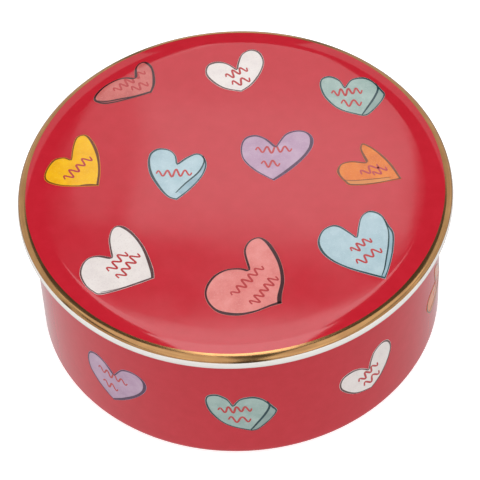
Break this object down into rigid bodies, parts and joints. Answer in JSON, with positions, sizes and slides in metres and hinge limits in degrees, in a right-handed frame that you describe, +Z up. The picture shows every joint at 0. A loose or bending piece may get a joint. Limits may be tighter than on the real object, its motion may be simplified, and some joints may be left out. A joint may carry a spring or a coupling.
{
  "type": "pill box",
  "caption": "Round porcelain pill box with a lift-off lid, a gilded round edge and fired-on candy hearts on a red ground.",
  "frame": {"origin": "centre of the foot ring, on the surface the box stands on", "axes": "+Z up along the box's axis, -Y towards the front of the lid's picture, +X to its right"},
  "size_m": [0.064, 0.064, 0.0255],
  "materials": {
    "porcelain": "clear gloss glaze over white porcelain, bare and matt on the foot ring",
    "red_ground": "fired-on red, glossy",
    "gold_lustre": "fired gold band, brushed on by hand, bright",
    "ink": "fired-on dark line, glossy",
    "candy_pink": "fired-on print, glossy",
    "candy_white": "fired-on print, glossy",
    "candy_aqua": "fired-on print, glossy",
    "candy_yellow": "fired-on print, glossy",
    "candy_blue": "fired-on print, glossy",
    "candy_lilac": "fired-on print, glossy",
    "candy_orange": "fired-on print, glossy"
  },
  "bodies": {
    "base": {"base_cup": "porcelain", "base_red_ground": "red_ground", "base_heart_outlines": "ink", "base_heart_lilac": "candy_lilac", "base_heart_aqua": "candy_aqua", "base_heart_white_small": "candy_white", "base_heart_orange": "candy_orange", "base_heart_blue_large": "candy_blue", "base_heart_pink_small": "candy_pink", "base_heart_yellow": "candy_yellow", "base_heart_white_large": "candy_white", "base_heart_blue_small": "candy_blue"},
    "lid": {"lid_cover": "porcelain", "lid_red_ground": "red_ground", "lid_gold_rim": "gold_lustre", "lid_heart_outlines": "ink", "lid_heart_pink_small": "candy_pink", "lid_heart_white_small": "candy_white", "lid_heart_aqua": "candy_aqua", "lid_heart_yellow": "candy_yellow", "lid_heart_blue_small": "candy_blue", "lid_heart_lilac": "candy_lilac", "lid_heart_orange": "candy_orange", "lid_heart_white_large": "candy_white", "lid_heart_pink_large": "candy_pink", "lid_heart_blue_large": "candy_blue"}
  },
  "joints": [
    {"name": "lid_lift", "type": "slide", "parent": "base", "child": "lid", "axis": [0, 0, 1], "range_m": [0, 0.04]}
  ]
}
